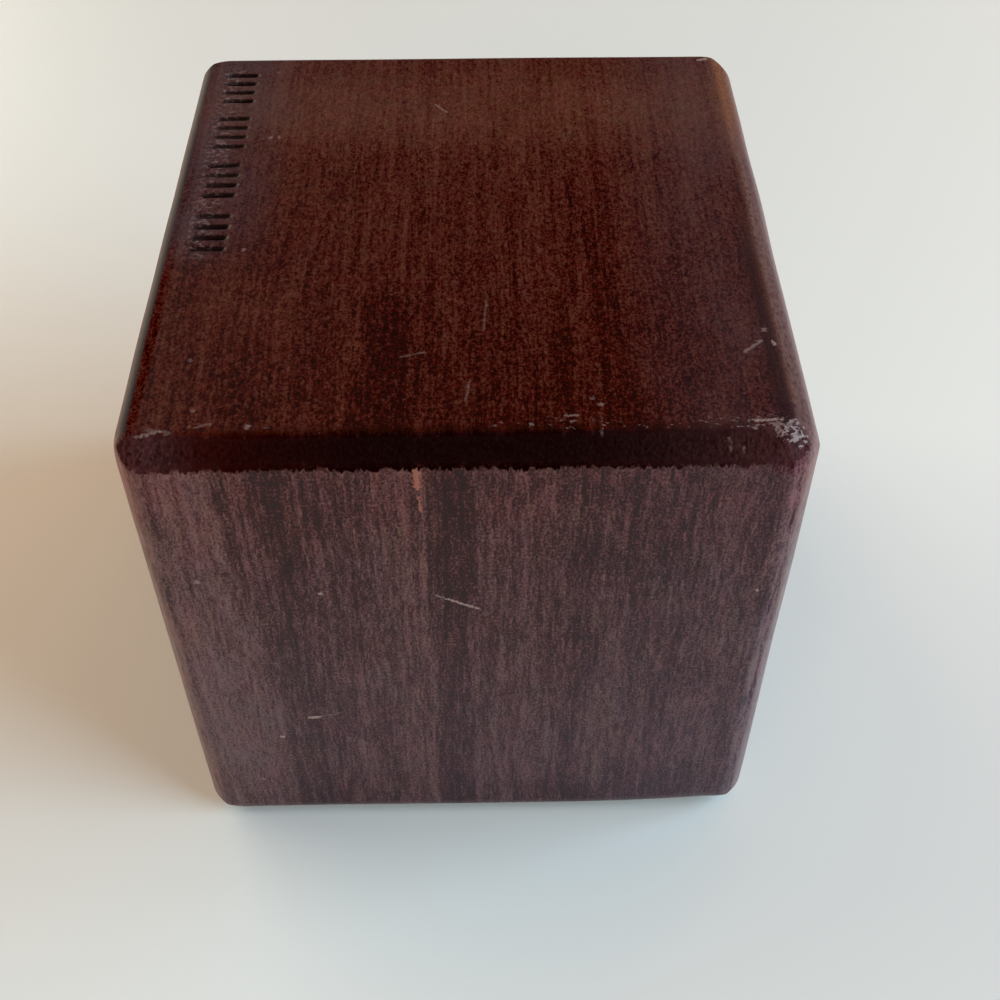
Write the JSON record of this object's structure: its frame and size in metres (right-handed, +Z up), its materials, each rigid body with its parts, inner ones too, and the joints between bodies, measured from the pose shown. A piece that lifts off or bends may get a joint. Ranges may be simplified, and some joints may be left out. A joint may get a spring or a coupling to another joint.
{
  "type": "wooden cube",
  "caption": "Solid wooden block, close to a cube, with edges rounded over by hand and one edge planed to a flat, used on a desk or bench as a weight, stand, spacer or toy.",
  "frame": {"origin": "middle of the bottom face, on the surface that the block stands on", "axes": "+Z up along the grain, +X to the right and +Y to the back, seen from the front face"},
  "size_m": [0.06, 0.064, 0.059],
  "materials": {
    "stained_wood": "dark red-brown stain rubbed smooth, satin, with end grain on the top and bottom"
  },
  "bodies": {
    "root": {"block": "stained_wood"}
  },
  "joints": []
}
